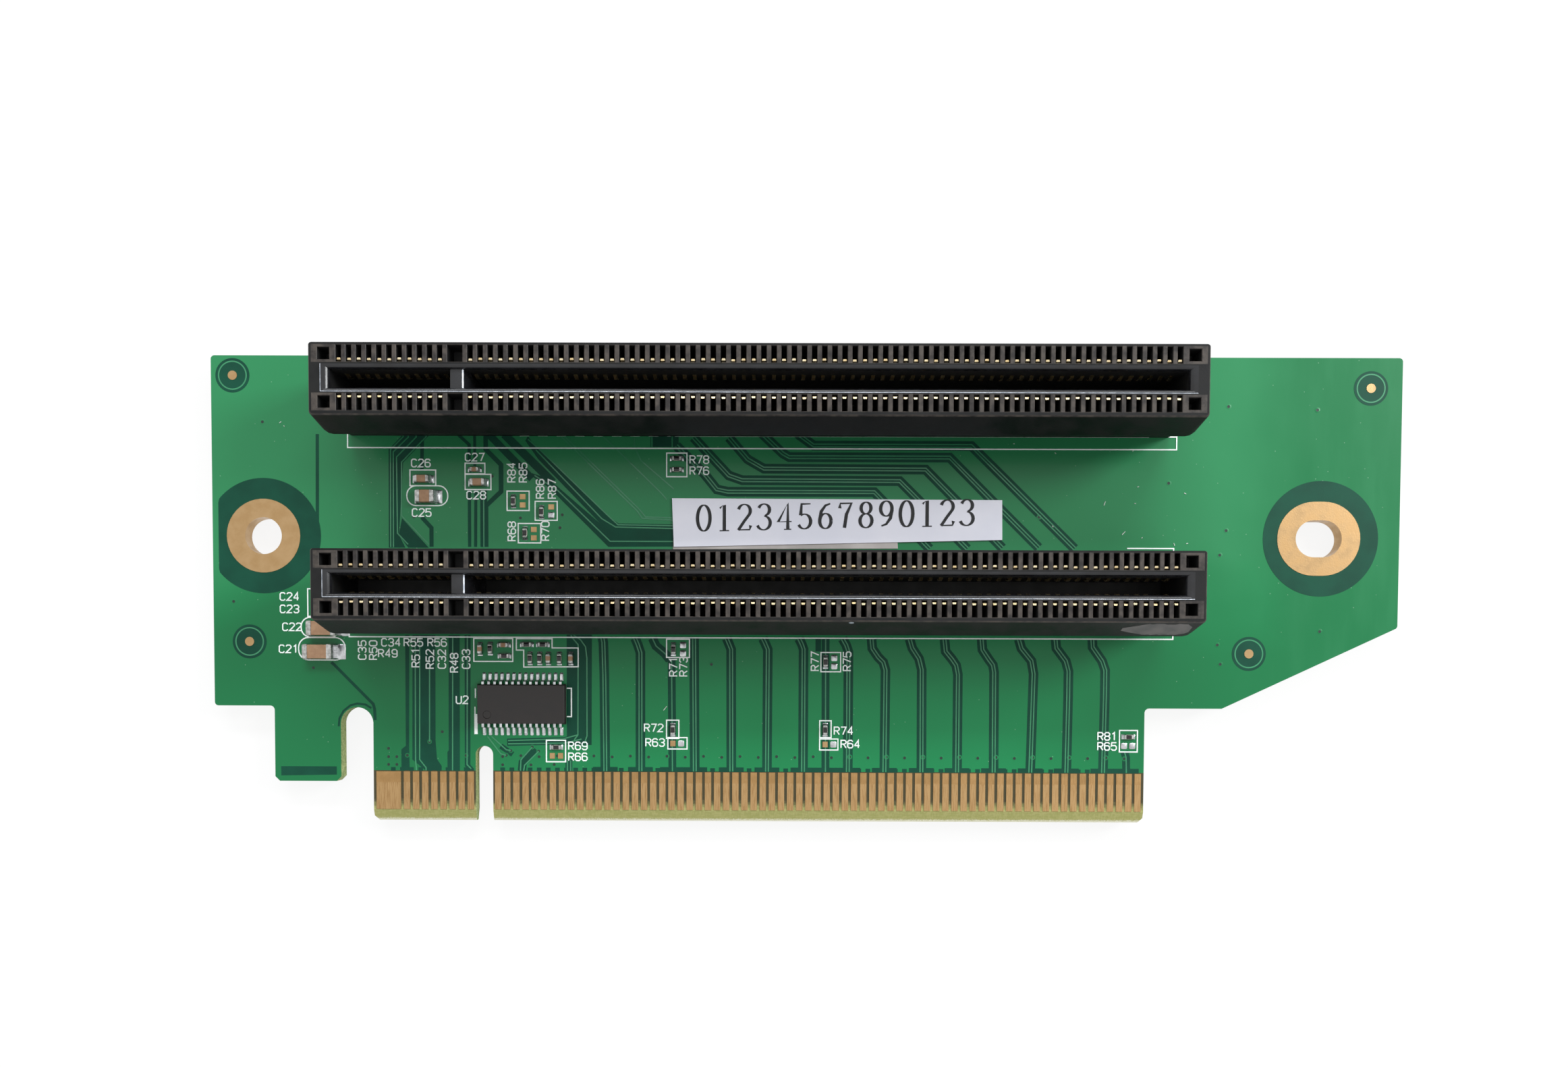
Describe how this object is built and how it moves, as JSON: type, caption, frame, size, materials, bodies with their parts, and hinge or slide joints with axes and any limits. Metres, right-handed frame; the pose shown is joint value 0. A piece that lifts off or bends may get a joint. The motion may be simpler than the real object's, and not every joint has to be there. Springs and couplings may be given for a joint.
{
  "type": "pcie riser card",
  "caption": "Flat circuit board with an edge connector along one side and parallel card slots standing on its face, used to carry plug-in cards in a server.",
  "frame": {"origin": "middle of the board outline, level with the tips of the solder joints under the card", "axes": "+X along the card slots towards the sloping corner, +Y from the edge contacts towards the far edge, +Z out of the component side"},
  "size_m": [0.129, 0.0506, 0.0139],
  "materials": {
    "board": "glossy green solder mask on glass-fibre laminate",
    "pad_gold": "satin gold flash",
    "contact_gold": "gold edge contact, dulled",
    "slot_plastic": "black glass-filled moulding",
    "spring_metal": "bright plated spring",
    "solder": "bright solder",
    "chip_plastic": "dark moulding compound",
    "lead_metal": "tinned lead",
    "capacitor_ceramic": "brown ceramic with tinned ends",
    "resistor_ceramic": "black glaze with tinned ends",
    "label_paper": "pale paper label"
  },
  "bodies": {
    "root": {"bare_pads": "pad_gold", "capacitor_bulk_lower": "capacitor_ceramic", "capacitor_bulk_upper": "capacitor_ceramic", "capacitor_end_a": "capacitor_ceramic", "capacitor_end_b": "capacitor_ceramic", "capacitor_medium": "capacitor_ceramic", "capacitor_small_a": "capacitor_ceramic", "capacitor_small_b": "capacitor_ceramic", "capacitor_tiny_a": "capacitor_ceramic", "capacitor_tiny_b": "capacitor_ceramic", "capacitor_tiny_c": "capacitor_ceramic", "capacitor_tiny_d": "capacitor_ceramic", "capacitor_tiny_e": "capacitor_ceramic", "chip_body": "chip_plastic", "chip_leads": "lead_metal", "circuit_board": "board", "edge_contacts_back": "contact_gold", "edge_contacts_front": "contact_gold", "fiducial_dots": "pad_gold", "hole_platings": "pad_gold", "label_top": "label_paper", "label_under": "label_paper", "lower_slot_housing": "slot_plastic", "lower_slot_solder_joints": "solder", "lower_slot_springs_back": "spring_metal", "lower_slot_springs_front": "spring_metal", "resistor_a": "resistor_ceramic", "resistor_b": "resistor_ceramic", "resistor_c": "resistor_ceramic", "resistor_d": "resistor_ceramic", "resistor_e": "resistor_ceramic", "resistor_f": "resistor_ceramic", "resistor_g": "resistor_ceramic", "resistor_h": "resistor_ceramic", "resistor_i": "resistor_ceramic", "resistor_j": "resistor_ceramic", "resistor_k": "resistor_ceramic", "resistor_l": "resistor_ceramic", "resistor_m": "resistor_ceramic", "resistor_n": "resistor_ceramic", "resistor_o": "resistor_ceramic", "resistor_p": "resistor_ceramic", "resistor_q": "resistor_ceramic", "resistor_r": "resistor_ceramic", "upper_slot_housing": "slot_plastic", "upper_slot_solder_joints": "solder", "upper_slot_springs_back": "spring_metal", "upper_slot_springs_front": "spring_metal"}
  },
  "joints": []
}
